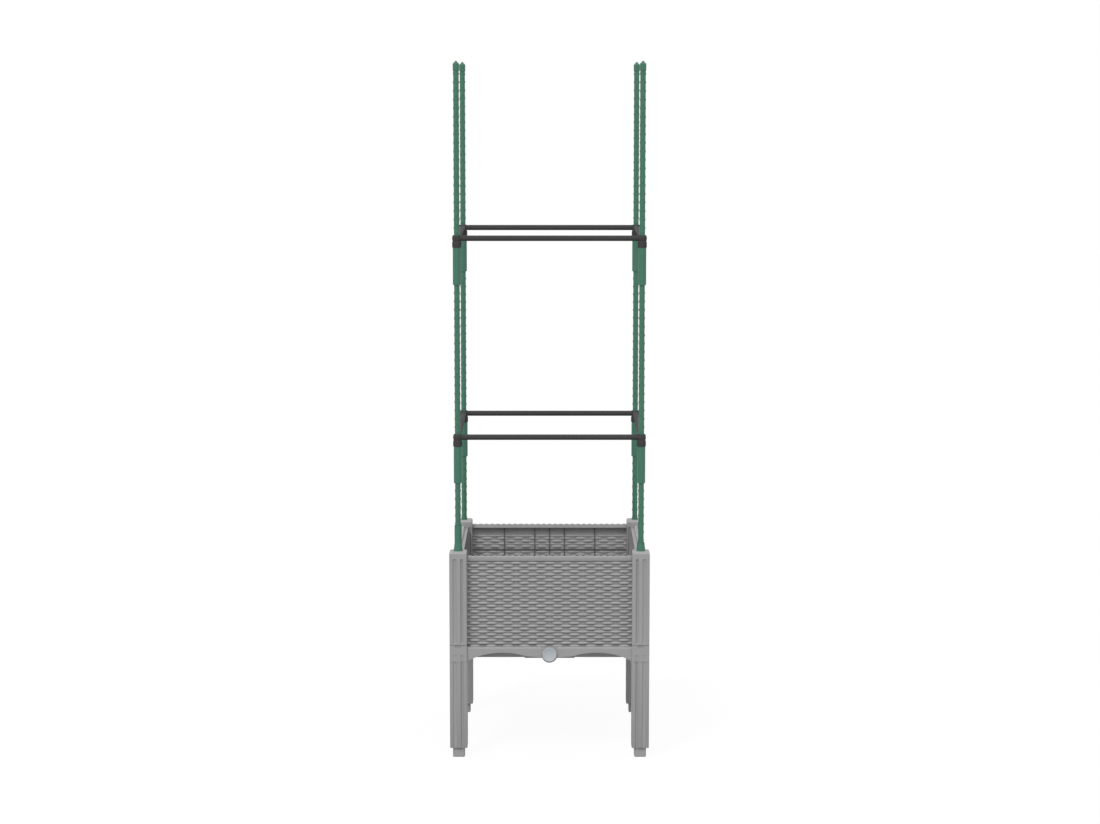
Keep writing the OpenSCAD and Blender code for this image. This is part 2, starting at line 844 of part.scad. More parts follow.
front_right() tip();  // tip_front_right
back_left() tip();  // tip_back_left
back_right() tip();  // tip_back_right
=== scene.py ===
import json
import math

import bmesh
import bpy
import numpy as np
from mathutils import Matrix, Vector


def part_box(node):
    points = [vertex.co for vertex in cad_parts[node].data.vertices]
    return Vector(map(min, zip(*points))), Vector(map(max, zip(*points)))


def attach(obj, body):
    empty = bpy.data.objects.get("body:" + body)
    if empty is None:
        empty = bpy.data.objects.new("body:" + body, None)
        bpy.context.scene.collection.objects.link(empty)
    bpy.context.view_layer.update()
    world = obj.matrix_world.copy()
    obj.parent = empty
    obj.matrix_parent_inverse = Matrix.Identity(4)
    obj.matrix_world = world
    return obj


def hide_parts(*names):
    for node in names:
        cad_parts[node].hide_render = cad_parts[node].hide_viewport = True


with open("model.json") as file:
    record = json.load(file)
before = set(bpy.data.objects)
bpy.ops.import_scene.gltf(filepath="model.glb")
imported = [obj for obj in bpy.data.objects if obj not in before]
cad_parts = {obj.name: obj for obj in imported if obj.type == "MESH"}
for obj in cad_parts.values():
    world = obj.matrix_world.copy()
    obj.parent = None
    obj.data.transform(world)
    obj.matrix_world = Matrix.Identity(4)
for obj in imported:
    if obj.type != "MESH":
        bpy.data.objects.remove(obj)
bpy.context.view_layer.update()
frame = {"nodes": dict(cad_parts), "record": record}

cornerSigns = {"front_left": (-1, -1), "front_right": (1, -1),
               "back_left": (-1, 1), "back_right": (1, 1)}


def linear(hexColour):
    # sRGB to linear: a dark channel is divided by 12.92, any other has 0.055 added, is divided
    # by 1.055 and raised to 2.4
    channels = np.array([int(hexColour[i:i + 2], 16) for i in (1, 3, 5)]) / 255
    low = channels / 12.92
    high = ((channels + 0.055) / 1.055) ** 2.4
    return (*np.where(channels <= 0.04045, low, high).tolist(), 1.0)


def addNode(tree, kind, sockets=None, **settings):
    # a node with its own settings, and a value or a link for each socket that is named
    node = tree.nodes.new(kind)
    for name, value in settings.items():
        setattr(node, name, value)
    for name, value in (sockets or {}).items():
        if isinstance(value, bpy.types.NodeSocket):
            tree.links.new(value, node.inputs[name])
        else:
            node.inputs[name].default_value = value
    return node


def newMaterial(name):
    # a material with an empty node tree
    material = bpy.data.materials.new(name)
    material.use_nodes = True
    material.node_tree.nodes.clear()
    return material, material.node_tree


# What all the moulded plastics share. An eroded mould leaves a grain of 0.1 to 0.2 mm, which is
# too fine to show here, so every look below draws its grain coarser, 0.6 to 1.2 mm across.
plastic = {
    "cloudDetail": 3.0, "cloudRoughness": 0.55, "cloudLow": 0.3, "cloudHigh": 0.7,
    "shineSpread": 0.05, "grainDetail": 2.0, "grainRoughness": 0.6, "specular": 0.5,
}


def mouldedPlastic(name, look):
    # injection-moulded plastic: even colour with a faint cloudiness, a fine spark-eroded grain
    # and a roughness that wanders a little where the melt flowed
    material, tree = newMaterial(name)
    place = addNode(tree, "ShaderNodeTexCoord").outputs["Object"]
    cloud = addNode(tree, "ShaderNodeTexNoise", {
        "Vector": place, "Scale": 1 / look["cloudSize"],
        "Detail": plastic["cloudDetail"], "Roughness": plastic["cloudRoughness"]})
    colour = addNode(tree, "ShaderNodeMix", {
        0: cloud.outputs["Fac"], 6: linear(look["dark"]), 7: linear(look["light"])},
        data_type="RGBA", clamp_factor=True)
    # painted shade: a mesh attribute mixes the colour towards the look's darker pit colour,
    # standing in for the shade that falls in the weave's pits and beside its ribs
    if "pit" in look:
        paintedShade = addNode(tree, "ShaderNodeAttribute", attribute_name="paintedShade")
        colour = addNode(tree, "ShaderNodeMix", {
            0: paintedShade.outputs["Fac"], 6: colour.outputs[2], 7: linear(look["pit"])},
            data_type="RGBA", clamp_factor=True)
    shine = addNode(tree, "ShaderNodeMapRange", {
        "Value": cloud.outputs["Fac"],
        "From Min": plastic["cloudLow"], "From Max": plastic["cloudHigh"],
        "To Min": look["roughness"] - plastic["shineSpread"],
        "To Max": look["roughness"] + plastic["shineSpread"]})
    grain = addNode(tree, "ShaderNodeTexNoise", {
        "Vector": place, "Scale": 1 / look["grainSize"],
        "Detail": plastic["grainDetail"], "Roughness": plastic["grainRoughness"]})
    bump = addNode(tree, "ShaderNodeBump", {
        "Height": grain.outputs["Fac"], "Strength": look["grain"],
        "Distance": look["grainDepth"]})
    shader = addNode(tree, "ShaderNodeBsdfPrincipled", {
        "Base Color": colour.outputs[2], "Roughness": shine.outputs[0],
        "Normal": bump.outputs[0], "IOR": look["ior"],
        "Specular IOR Level": look.get("specular", plastic["specular"])})
    addNode(tree, "ShaderNodeOutputMaterial", {"Surface": shader.outputs[0]})
    return material


# Polypropylene, injection-moulded: satin, slightly waxy, with the grain of an eroded mould
resinLook = {"dark": "#989798", "light": "#9f9e9f", "cloudSize": 60e-3, "roughness": 0.52,
             "grainSize": 0.9e-3, "grain": 0.22, "grainDepth": 0.12e-3, "ior": 1.49}
resin = mouldedPlastic("moulded_polypropylene_grey", resinLook)

# Polypropylene, moulded as weave: the same melt, smoother on the raised strands. Its darker pit
# colour is painted shade, laid into the pits under the strands and onto the inner ribs for the
# shadow there
weaveLook = {"dark": "#999899", "light": "#a1a0a1", "cloudSize": 50e-3, "roughness": 0.46,
             "grainSize": 0.8e-3, "grain": 0.18, "grainDepth": 0.1e-3, "ior": 1.49,
             "pit": "#696869"}
wovenResin = mouldedPlastic("moulded_polypropylene_weave", weaveLook)

# Polyethylene, extruded over a tube: semi-gloss green, smoother than the moulded sleeves
coatLook = {"dark": "#336b53", "light": "#3a745c", "cloudSize": 30e-3, "roughness": 0.38,
            "grainSize": 1.2e-3, "grain": 0.12, "grainDepth": 0.1e-3, "ior": 1.51}
coating = mouldedPlastic("extruded_polyethylene_green", coatLook)

# Polyethylene sleeve, moulded: a duller green than the stakes
sleeveLook = {"dark": "#376b57", "light": "#3d7460", "cloudSize": 40e-3, "roughness": 0.5,
              "grainSize": 1.0e-3, "grain": 0.16, "grainDepth": 0.1e-3, "ior": 1.51}
sleevePlastic = mouldedPlastic("moulded_polyethylene_green", sleeveLook)

# ABS, moulded black: dull, with an eroded grain that leaves hardly any sheen at a slant
blackLook = {"dark": "#3f3f3f", "light": "#464646", "cloudSize": 30e-3, "roughness": 0.7,
             "grainSize": 0.8e-3, "grain": 0.2, "grainDepth": 0.1e-3, "ior": 1.5,
             "specular": 0.1}
blackPlastic = mouldedPlastic("moulded_abs_black", blackLook)

# Polyethylene, moulded pale grey: a soft sheen, nearly smooth
plugLook = {"dark": "#aab1b5", "light": "#b5bbbf", "cloudSize": 10e-3, "roughness": 0.4,
            "grainSize": 0.8e-3, "grain": 0.1, "grainDepth": 0.08e-3, "ior": 1.51}
plugPlastic = mouldedPlastic("moulded_polyethylene_pale", plugLook)

# EPDM rubber, moulded: matt black
rubberLook = {"dark": "#161616", "light": "#1e1e1e", "cloudSize": 10e-3, "roughness": 0.8,
              "grainSize": 0.6e-3, "grain": 0.3, "grainDepth": 0.1e-3, "ior": 1.5}
rubber = mouldedPlastic("moulded_rubber_black", rubberLook)

slotMaterials = {"resin": resin, "sleeve_coating": sleevePlastic, "stake_coating": coating,
                 "tip_plastic": coating, "black_plastic": blackPlastic,
                 "plug_plastic": plugPlastic, "washer_rubber": rubber}
for part in frame["record"]["subparts"]:
    node = frame["nodes"][part["node"]]
    if not node.material_slots:
        node.data.materials.append(None)
    for materialSlot in node.material_slots:
        materialSlot.material = slotMaterials[part["material_slot"]]
print("materials on", len(frame["nodes"]), "CAD nodes")

meshing = {"mergeDistance": 1e-7, "creaseAngle": 38, "edgeSteps": 4}
edgeBend = np.linspace(0, np.pi / 2, meshing["edgeSteps"])  # quarter circle of a rounded edge


def gridQuads(rows, columns, closed=False):
    # corner numbers of the quads between neighbouring rows and columns of a grid of points,
    # facing the way that columns x rows points; closed joins the last column to the first
    across = columns if closed else columns - 1
    i, j = np.meshgrid(np.arange(rows - 1), np.arange(across), indexing="ij")
    k = (j + 1) % columns
    quads = np.stack([i * columns + j, i * columns + k, (i + 1) * columns + k,
                      (i + 1) * columns + j], -1)
    return quads.reshape(-1, 4)


def closedRings(rings):
    # shell from rings of points that run up the outside and down the inside; the row of quads
    # after the last ring counts round to the first
    rings = np.asarray(rings)
    quads = gridQuads(len(rings) + 1, rings.shape[1], closed=True)
    return rings, quads % rings[..., 0].size


def addPiece(name, shells, material, body, nodes):
    # one mesh from several closed shells, each an array of points, one of quads and, where the
    # material asks for it, one of painted shade, how far each point's colour is darkened for shade
    points, faces, paintedShade, start = [], [], [], 0
    for shellPoints, shellFaces, *extra in shells:
        points.append(np.asarray(shellPoints).reshape(-1, 3))
        faces.append(np.asarray(shellFaces) + start)
        paintedShade.append(extra[0].ravel() if extra else np.zeros(len(points[-1])))
        start += len(points[-1])
    points, faces = np.concatenate(points), np.concatenate(faces)
    mesh = bpy.data.meshes.new(name)
    mesh.vertices.add(len(points))
    mesh.vertices.foreach_set("co", points.astype(np.float32).ravel())
    mesh.loops.add(faces.size)
    mesh.loops.foreach_set("vertex_index", faces.astype(np.int32).ravel())
    mesh.polygons.add(len(faces))
    mesh.polygons.foreach_set("loop_start", np.arange(0, faces.size, 4, dtype=np.int32))
    mesh.polygons.foreach_set("use_smooth", np.full(len(faces), True))
    mesh.update(calc_edges=True)
    if any(values.any() for values in paintedShade):
        mesh.attributes.new("paintedShade", "FLOAT", "POINT").data.foreach_set(
            "value", np.concatenate(paintedShade).astype(np.float32))
    # closed ends bring their points together in one place, where they are merged
    work = bmesh.new()
    work.from_mesh(mesh)
    bmesh.ops.remove_doubles(work, verts=work.verts, dist=meshing["mergeDistance"])
    work.to_mesh(mesh)
    work.free()
    mesh.validate()
    mesh.set_sharp_from_angle(angle=math.radians(meshing["creaseAngle"]))
    mesh.materials.append(material)
    piece = bpy.data.objects.new(name, mesh)
    bpy.context.scene.collection.objects.link(piece)
    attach(piece, body)
    if nodes:
        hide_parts(*nodes)
    return piece


def turned(points, angle):
    # quarter turns about the vertical axis, from the front side to the others: x goes to
    # x cos - y sin, and y to x sin + y cos
    c, s = round(math.cos(angle)), round(math.sin(angle))
    x, y, z = points[..., 0], points[..., 1], points[..., 2]
    return np.stack([c * x - s * y, s * x + c * y, z], -1)


postGap = 0.3e-3  # between the woven face and the posts at its ends
panel = {
    # distance between upright stakes and between strands, the height of one strand's middle, and
    # the points that are drawn in each pitch
    "columnPitch": 16.66e-3, "rowPitch": 5.84e-3, "rowZero": 331.4e-3,
    "columnsPerPitch": 9, "rowsPerPitch": 8,
    # how deep even and odd strands dip, how round and how high their section is, how much lower
    # it gets in the dip, how square they swing, and how high they and the stakes stand
    "dips": (2.5e-3, 2.0e-3), "round": 2.2e-3, "halfHeight": 2.9e-3, "taper": 0.15,
    "blunt": 1.5, "pit": 2.7e-3, "stakeHalf": 2.4e-3, "stakeTop": 0.75e-3,
    # painted shade in the pits: from and to which slope it grows, how many rows up it looks, and
    # what depth alone adds, from and to which share of the pit
    "cavityFrom": 0.1, "cavityTo": 1.2, "cavityReach": 6,
    "deep": 0.5, "deepFrom": 0.2, "deepTo": 0.95,
    # where the weave begins and ends, and the heights over which it fades into the plain edges
    "weaveLow": 225.0e-3, "weaveHigh": 399.5e-3, "top": 401.5e-3,
    "lowMargin": 1e-3, "lowFade": 0.6e-3, "highFade": 0.7e-3, "innerFade": 1e-3,
    "faceHalf": -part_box("post_front_left")[1].x - postGap,
    "endMargin": 0.3e-3, "endStep": 0.2e-3, "plainBehind": 0.2e-3,
    # thickness, the inner relief's share of the outer one's depth, and its plain strip on top
    "skin": 3.0e-3, "innerDepth": 0.6, "plainUnderFlange": 9.0e-3,
    # scalloped rim, with the lip that covers the weave's upper edge
    "scallopPitch": 12.26e-3, "scallopHeight": 1.5e-3, "scallopSteps": 10,
    "scallopMargin": 0.2e-3, "rim": 6.0e-3, "rimLow": 7.3e-3, "edge": 0.9e-3,
    "rimLip": 0.3e-3, "rimLipTop": 0.9e-3, "rimLipRoot": 0.5e-3, "rimSeat": 0.2e-3,
    # inner flange and ribs; a seat or a root is how far a bar reaches into what carries it
    "flange": 7.0e-3, "flangeThick": 1.8e-3, "flangeSeat": 1e-3,
    "ribThick": 2.4e-3, "ribRoot": 0.15e-3, "ribDepth": 2.6e-3, "ribDrop": 55e-3,
    # the ribs get full painted shade, their dark colour standing in for the shadow beside them
    "ribLow": 226.5e-3, "ribSeat": 0.5e-3, "ribPaintedShade": 1.0,
    "ribs": (-96.6e-3, -31.7e-3, 0.0, 31.7e-3, 96.6e-3),
}


def smoothStep(edge0, edge1, value):
    # 0 up to the first edge and 1 from the second, and 3 t^2 - 2 t^3 between them, where t is
    # the share of the way
    t = np.clip((value - edge0) / (edge1 - edge0), 0, 1)
    return t * t * (3 - 2 * t)


def weaveHeight(u, z, phase):
    # Height of a plain weave over its pits. Strand n swings over and under the upright stakes
    # as tanh(blunt cos(pi u / pitch)), with the sign changing from row to row, and every other
    # strand dips deeper. Its section is an ellipse below its crest and a parabola above it. The
    # surface is the highest strand or stake, and a stake shows at every other place.
    n = np.round((z - panel["rowZero"]) / panel["rowPitch"])
    best = np.zeros_like(u)
    for step in (-1, 0, 1):
        row = n + step
        even = row % 2 == 0
        swing = phase * np.where(even, 1, -1) * np.cos(np.pi * u / panel["columnPitch"])
        under = (1 + np.tanh(panel["blunt"] * swing) / np.tanh(panel["blunt"])) / 2
        crest = panel["pit"] - np.where(even, *panel["dips"]) * under
        half = panel["halfHeight"] * (1 - panel["taper"] * under)
        v = (z - panel["rowZero"] - row * panel["rowPitch"]) / half
        section = np.where(v < 0, np.sqrt(np.clip(1 - v * v, 0, 1)), 1 - v * v)
        strand = crest - panel["round"] * (1 - section)
        best = np.maximum(best, np.where(np.abs(v) < 1, strand, 0))
    pitch = 2 * panel["columnPitch"]
    v = (u - np.round(u / pitch) * pitch) / panel["stakeHalf"]
    stake = panel["stakeTop"] * np.sqrt(np.clip(1 - v * v, 0, 1))
    return np.maximum(best, stake)


def paintedShadeOf(height, zStep):
    # painted shade for each point: how far it lies under what juts out above it, from the steepest
    # line up from it to the surface in the next rows, or how deep it lies, whichever is more
    steepest = np.zeros_like(height)
    for rows in range(1, panel["cavityReach"] + 1):
        rise = height[rows:] - height[:-rows]
        steepest[:-rows] = np.maximum(steepest[:-rows], rise / (rows * zStep))
    deep = panel["deep"] * smoothStep(panel["deepFrom"], panel["deepTo"],
                                      1 - height / panel["pit"])
    return np.maximum(smoothStep(panel["cavityFrom"], panel["cavityTo"], steepest), deep)


def carried(profiles, places):
    # closed outlines in depth and height, one for each place along the panel, joined to a bar
    # whose two ends are closed over the middles of their outlines
    profiles = np.asarray(profiles)
    count = profiles.shape[1]
    middles = profiles.mean(1, keepdims=True).repeat(count, 1)
    profiles = np.concatenate([middles[:1], profiles, middles[-1:]])
    places = np.concatenate([places[:1], places, places[-1:]])
    along = np.repeat(places[:, None], count, 1)[..., None]
    return np.concatenate([along, profiles], -1), gridQuads(len(places), count, closed=True)


def bar(low, high, start, end, paintedShade=0.0):
    # box between two corners in depth and height, from one place to another, with an even amount
    # of painted shade
    outline = [[low[0], low[1]], [high[0], low[1]], [high[0], high[1]], [low[0], high[1]]]
    points, quads = carried([outline, outline], np.array([start, end]))
    return points, quads, np.full(points.shape[:2], paintedShade)


def wovenSkin(outer, inner, half, bottom):
    # Both faces on one grid of places along and heights. The front lies behind the panel's own
    # plane by the pit's depth less the weave's height, and the back stands out from the skin by
    # a share of the opposite weave's height. The plain edges lie a little behind the weave. The
    # back's points run the other way, so that the two faces close to one skin.
    face, endStep = panel["faceHalf"], panel["endStep"]
    step = panel["columnPitch"] / panel["columnsPerPitch"]
    count = math.floor((face - panel["endMargin"]) / step)
    u = np.concatenate([[-half, -face - endStep, -face], np.arange(-count, count + 1) * step,
                        [face, face + endStep, half]])
    zStep = panel["rowPitch"] / panel["rowsPerPitch"]
    first, last = [math.ceil((height - panel["rowZero"]) / zStep)
                   for height in (panel["weaveLow"] - panel["lowMargin"], panel["top"])]
    z = np.concatenate([[bottom], np.arange(first, last) * zStep + panel["rowZero"]])
    uGrid, zGrid = np.meshgrid(u, z)
    above = smoothStep(panel["weaveLow"] - panel["lowFade"],
                       panel["weaveLow"] + panel["lowFade"], zGrid)
    below = 1 - smoothStep(panel["weaveHigh"], panel["weaveHigh"] + panel["highFade"], zGrid)
    woven = above * below * (np.abs(uGrid) < face + endStep / 2)
    height = weaveHeight(uGrid, zGrid, 1)
    front = outer - (panel["pit"] - height) * woven - panel["plainBehind"] * (1 - woven)
    plainFrom = panel["top"] - panel["rimLow"] - panel["plainUnderFlange"]
    back = inner - panel["innerDepth"] * weaveHeight(uGrid, zGrid, -1) * woven \
        * (1 - smoothStep(plainFrom - panel["innerFade"], plainFrom, zGrid))
    outside = np.stack([uGrid, -front, zGrid], -1)
    insideWall = np.stack([uGrid, -back, zGrid], -1)
    rows, columns = zGrid.shape
    ring = np.concatenate([outside, insideWall[:, ::-1]], 1)
    j = np.arange(columns - 1)
    bottomCap = np.stack([j, 2 * columns - 1 - j, 2 * columns - 2 - j, j + 1], -1)
    topCap = bottomCap[:, ::-1] + (rows - 1) * 2 * columns
    # painted shade on the front's weave from its overhangs and pits, none on the back
    paintedShade = np.concatenate([paintedShadeOf(height, zStep) * woven, 0 * height], 1)
    quads = np.concatenate([gridQuads(rows, 2 * columns, closed=True), bottomCap, topCap])
    return ring, quads, paintedShade


def scallopedRim(outer, inner, top):
    # band along the top, whose height falls from each scallop's crown as a parabola; its outline
    # has a lip over the weave's upper edge and two rounded upper edges
    step = panel["scallopPitch"] / panel["scallopSteps"]
    count = math.floor((panel["faceHalf"] - panel["scallopMargin"]) / step)
    u = np.concatenate([[-panel["faceHalf"]], np.arange(-count, count + 1) * step,
                        [panel["faceHalf"]]])
    phase = u / panel["scallopPitch"]
    phase = 2 * (phase - np.round(phase))
    height = (top - panel["scallopHeight"] * phase ** 2)[:, None]
    rimIn, edge, low = outer - panel["rim"], panel["edge"], top - panel["rimLow"]
    fixed = 0 * height
    seat, root = inner + panel["rimSeat"], panel["weaveHigh"] + panel["rimLipRoot"]
    depths = [outer, outer - panel["rimLip"], seat, seat, rimIn]
    heights = [panel["weaveHigh"] + panel["rimLipTop"], root, root, low, low]
    depths = np.concatenate([depths, rimIn + edge * (1 - np.cos(edgeBend)),
                             (outer - edge * (1 - np.cos(edgeBend)))[::-1]])
    crown = np.concatenate([edge * (np.sin(edgeBend) - 1), edge * (np.sin(edgeBend)[::-1] - 1)])
    profile = np.concatenate([np.array(heights)[None] + fixed, height + crown[None]], 1)
    return carried(np.stack([-depths[None] + fixed, profile], -1), u)


def panelShells():
    # the front panel: its skin and rim, the flange inside, five upright ribs and a level one
    low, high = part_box("panel_front")
    outer, half, bottom, top = -low.y, high.x, low.z, high.z
    inner, rimIn = outer - panel["skin"], outer - panel["rim"]
    zRim, zRib = top - panel["rimLow"], top - panel["ribDrop"]
    face, t = panel["faceHalf"], panel["ribThick"] / 2
    shells = [wovenSkin(outer, inner, half, bottom), scallopedRim(outer, inner, top)]
    shells.append(bar((-rimIn - panel["flangeSeat"], zRim),
                      (-rimIn + panel["flange"], zRim + panel["flangeThick"]), -face, face))
    depth = (-inner - panel["ribRoot"], -inner + panel["ribDepth"])
    # the ribs carry painted shade, dark as the pits, for the shadow beside them
    for x in panel["ribs"]:
        shells.append(bar((depth[0], panel["ribLow"]), (depth[1], zRim + panel["ribSeat"]),
                          x - t, x + t, panel["ribPaintedShade"]))
    shells.append(bar((depth[0], zRib - t), (depth[1], zRib + t), -face, face,
                      panel["ribPaintedShade"]))
    return shells


shells = panelShells()
sideAngles = {"front": 0, "back": math.pi, "left": -math.pi / 2, "right": math.pi / 2}
for side, angle in sideAngles.items():
    placed = [(turned(points, angle), *rest) for points, *rest in shells]
    piece = addPiece("woven_panel_" + side, placed, wovenResin, "planter",
                     ["panel_" + side])
print("woven panels:", len(piece.data.polygons), "faces each")

legBox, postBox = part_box("leg_front_left"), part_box("post_front_left")
post = {
    # half width, corner radius, and the size of the hollow as a share of the outside
    "half": (postBox[1].x - postBox[0].x) / 2, "corner": 1.5e-3, "core": 0.68,
    # flutes and groove: distance from the post's outer edge, width and depth
    "flutes": ((10.4e-3, 7.4e-3, 2.1e-3), (24.8e-3, 5.6e-3, 3.0e-3)),
    "groove": (29.7e-3, 5.0e-3, 2.0e-3),
    "fluteEnd": 6.0e-3, "fluteRound": 3.2e-3, "roundSteps": 7, "fluteSteps": 13,
    # slot for the panel, with the number of its depth in the list of notches' depths
    "slotMid": 3.0e-3, "slotWidth": 3.6e-3, "slotDepth": 3.8e-3, "slotColumn": 4,
    "slotWall": 0.99, "slotShare": 9.0,
    # rebates at the joints with the tray's blocks, and their broken edges
    "postSeam": 1.3e-3, "legSeam": 0.78e-3, "seamDeep": 1.1e-3, "seamLip": 0.02e-3,
    "edge": 0.3e-3, "edgeDeep": 0.24e-3, "slack": 1e-6,
    # chamfered foot, and the square peg below it
    "footIn": 0.9e-3, "footHigh": 1.6e-3, "footKink": 0.35,
    "spigot": 12.0e-3, "spigotCorner": 2.0e-3, "spigotLong": 20.0e-3, "spigotCore": 0.02,
    "spigotSeat": 0.4e-3, "chamfer": 1.4e-3,
}


def squareOutline(half, corner, notches):
    # Counter-clockwise outline of a rounded square from its face at +x. Notches are, for each of
    # the four faces, tuples of middle, width and the number of their depth. That number is
    # returned with each point's share of the notch, 1 - u^2 at u across it from -1 to 1. A share
    # far over 1 stands for a slot, whose walls are upright and whose ends are square.
    points, normals, shares = [], [], []
    for turn in range(4):
        places, local = [-(half - corner)], [(0, 0.0)]
        for middle, width, column in sorted(notches[turn]):
            if column == post["slotColumn"]:
                u = np.array([-1, -post["slotWall"], post["slotWall"], 1])
                share = [0.0, post["slotShare"], post["slotShare"], 0.0]
            else:
                u = -np.cos(np.linspace(0, np.pi, post["fluteSteps"]))
                share = 1 - u ** 2
            places += list(middle + u * width / 2)
            local += [(column, value) for value in share]
        places.append(half - corner)
        local.append((0, 0.0))
        face = np.stack([np.full(len(places), half), np.array(places)], -1)
        bend = np.stack([np.cos(edgeBend[1:-1]), np.sin(edgeBend[1:-1])], -1)
        arc = half - corner + corner * bend
        outward = np.concatenate([np.tile([1.0, 0.0], (len(places), 1)), bend])
        c, s = round(math.cos(turn * np.pi / 2)), round(math.sin(turn * np.pi / 2))
        spin = np.array([[c, s], [-s, c]])
        points.append(np.concatenate([face, arc]) @ spin)
        normals.append(outward @ spin)
        shares += local + [(0, 0.0)] * len(arc)
    return np.concatenate(points), np.concatenate(normals), np.array(shares)


def seamStep(distance, seam):
    # depth of the rebate at this distance from the end: full as far as the seam is high, a
    # little on the edge just beyond it, and none further on
    if distance <= seam + post["slack"]:
        return post["seamDeep"]
    return post["edgeDeep"] if distance <= seam + post["seamLip"] + post["slack"] else 0.0


def flutedShell(low, high, notches, depths, ends, lowSeam, highSeam, foot):
    # Hollow square bar from one ring of points at each height. A ring's points move inwards by
    # their notch's depth times the root of their share less v^2, where v goes from 0 to 1 over
    # the notch's round end, or by the seam's rebate if that is more. A foot's chamfer cuts the
    # ring off at a square that grows with the height. The last two rings line the inside.
    half = post["half"]
    base, normal, shares = squareOutline(half, post["corner"], notches)
    roundEnd = np.sin(np.linspace(0, np.pi / 2, post["roundSteps"])) * post["fluteRound"]
    heights = [low, high, low + foot, low + post["footKink"] * foot]
    if ends:
        heights += list(low + ends - roundEnd) + list(high - ends + roundEnd)
    steps = (0.0, post["seamLip"], post["edge"])
    if lowSeam:
        heights += [low + lowSeam + step for step in steps]
    if highSeam:
        heights += [high - highSeam - step for step in steps]
    rings = []
    for z in np.unique(np.round(heights, 6)):
        beyond = max(0.0, low + ends - z, z - high + ends) / post["fluteRound"] if ends else 0.0
        flute = np.sqrt(np.clip(shares[:, 1] - beyond ** 2, 0, 1))
        inwards = np.take([0.0, *depths], shares[:, 0].astype(int)) * flute
        rebate = max(seamStep(z - low, lowSeam) if lowSeam else 0.0,
                     seamStep(high - z, highSeam) if highSeam else 0.0)
        ring = base - normal * np.maximum(inwards, rebate)[:, None]
        if foot:
            limit = half - post["footIn"] * max(0.0, 1 - (z - low) / foot)
            ring = np.clip(ring, -limit, limit)
        rings.append(np.column_stack([ring, np.full(len(ring), z)]))
    for z in (high, low):
        rings.append(np.column_stack([base * post["core"], np.full(len(base), z)]))
    return closedRings(rings)


def spigotShell(low, high):
    # square peg with a chamfer around its lower end, and a core too narrow to see
    base, normal, _ = squareOutline(post["spigot"], post["spigotCorner"], [[], [], [], []])
    rings = []
    for z, inset in ((low, post["chamfer"]), (low + post["chamfer"], 0.0), (high, 0.0)):
        rings.append(np.column_stack([base - normal * inset, np.full(len(base), z)]))
    for z in (high, low):
        rings.append(np.column_stack([base * post["spigotCore"], np.full(len(base), z)]))
    return closedRings(rings)


def atCorner(shell, corner):
    # a corner piece, drawn for the back right, mirrored to its corner; the rings of mirrored
    # points are reversed to keep their faces outwards
    rings, quads = shell
    signs = np.array([*cornerSigns[corner], 1.0])
    axis = (postBox[0].x + postBox[1].x) / 2
    placed = (rings + np.array([-axis, -axis, 0.0])) * signs
    return (placed[:, ::-1] if signs[0] * signs[1] < 0 else placed), quads


half = post["half"]
outerFlutes = [(half - flute[0], flute[1], i + 1) for i, flute in enumerate(post["flutes"])]
mirrored = [(-middle, width, column) for middle, width, column in outerFlutes]
groove = (half - post["groove"][0], post["groove"][1], 3)
slot = (post["slotMid"], post["slotWidth"], post["slotColumn"])
depths = [post["flutes"][0][2], post["flutes"][1][2], post["groove"][2], post["slotDepth"]]
legFaces = [outerFlutes, mirrored, [], []]
postFaces = [outerFlutes, mirrored, [(-groove[0], *groove[1:]), (-slot[0], *slot[1:])],
             [groove, slot]]
legLow, legHigh = legBox[0].z + post["spigotLong"], legBox[1].z
postLow, postHigh = postBox[0].z + post["spigotLong"], postBox[1].z
legShells = [
    flutedShell(legLow, legHigh, legFaces, depths, 0.0, 0.0, post["legSeam"], post["footHigh"]),
    spigotShell(legBox[0].z, legLow + post["spigotSeat"])]
postShells = [
    flutedShell(postLow, postHigh, postFaces, depths, post["fluteEnd"], post["postSeam"], 0.0, 0.0),
    spigotShell(postBox[0].z, postLow + post["spigotSeat"])]
for corner in cornerSigns:
    addPiece("fluted_leg_" + corner, [atCorner(shell, corner) for shell in legShells], resin,
             "planter", ["leg_" + corner])
    addPiece("fluted_post_" + corner, [atCorner(shell, corner) for shell in postShells], resin,
             "planter", ["post_" + corner])
print("legs and posts made")

tray = {
    "floorRise": 7.0e-3, "half": 170.3e-3, "end": 165.5e-3, "thick": 2.5e-3, "round": 0.6e-3,
    "drop": 4.0e-3, "middleHalf": 50e-3, "middleDrop": 5.8e-3, "middleStep": 0.3e-3,
    "seat": 0.4e-3,
}


def underRim():
    # rim under the edge of the tray's floor: a bar with a rounded lower edge, deeper in the middle
    floor = legBox[1].z + tray["floorRise"]
    middle = tray["middleHalf"]
    places = np.array([-tray["end"], -middle - tray["middleStep"], -middle,
                       middle, middle + tray["middleStep"], tray["end"]])
    outlines = []
    for x in places:
        low = floor - (tray["middleDrop"] if abs(x) <= middle else tray["drop"])
        r = tray["round"]
        outer, inner = -tray["half"], -tray["half"] + tray["thick"]
        depth = [*(outer + r - r * np.cos(edgeBend)), *(inner - r + r * np.sin(edgeBend)),
                 inner, outer]
        height = [*(low + r - r * np.sin(edgeBend)), *(low + r - r * np.cos(edgeBend)),
                  floor + tray["seat"], floor + tray["seat"]]
        outlines.append(np.stack([depth, height], -1))
    return carried(outlines, places)


rimPoints, rimQuads = underRim()
addPiece("tray_under_rim", [(turned(rimPoints, i * math.pi / 2), rimQuads) for i in range(4)],
         resin, "planter", [])
print("tray rim made")

stake = {
    "radius": 5.5e-3, "wall": 0.8e-3, "nubHeight": 0.78e-3, "nubPitch": 16.7e-3,
    "nubHalf": 2.6e-3, "nubPower": 0.8, "segments": 40, "rowStep": 1.39e-3,
    "plainTop": 2e-3, "plainUnderTip": 18e-3,
}


